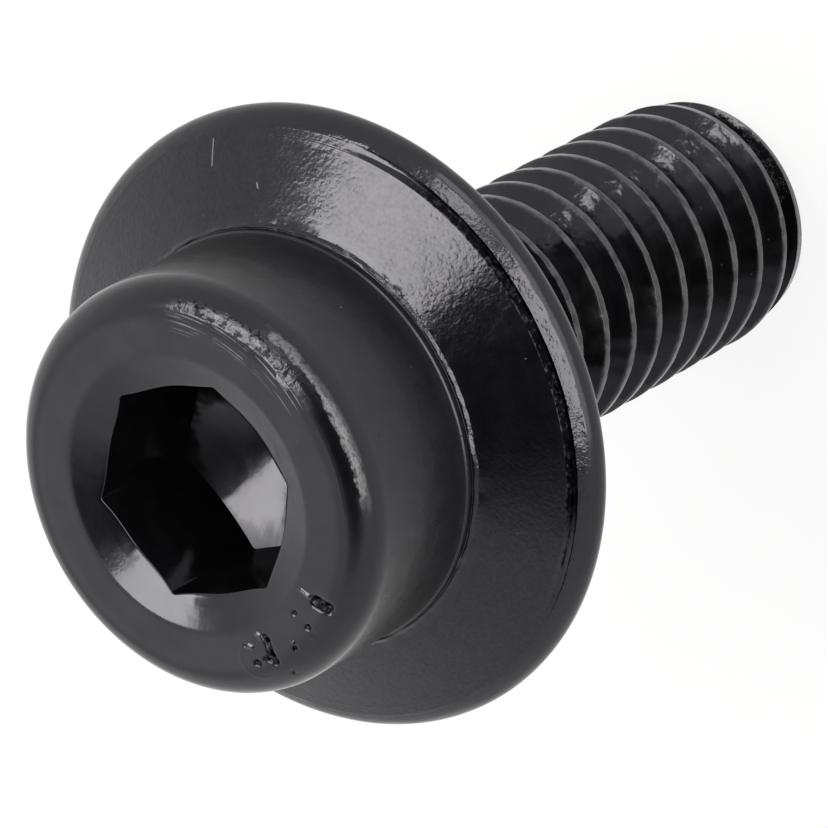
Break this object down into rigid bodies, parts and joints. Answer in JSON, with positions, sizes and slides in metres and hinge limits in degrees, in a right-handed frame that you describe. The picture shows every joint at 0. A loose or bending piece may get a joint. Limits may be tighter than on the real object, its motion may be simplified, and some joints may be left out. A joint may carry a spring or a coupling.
{
  "type": "mower blade bolt",
  "caption": "Collared socket-head bolt that clamps a rotary mower's blade to its spindle: round head, sloping one-piece collar, short threaded shank.",
  "frame": {"origin": "centre of the thread's end face, at the lowest point of the part", "axes": "+Z along the bolt's axis from the thread's end up to the head's end face; two corners of the hexagon socket lie on X"},
  "size_m": [0.0192, 0.0192, 0.0275],
  "materials": {
    "blade_bolt": "semi-gloss black coating over forged steel, slightly rough, with small pits and scuffs"
  },
  "bodies": {
    "root": {"blade_bolt": "blade_bolt"}
  },
  "joints": []
}
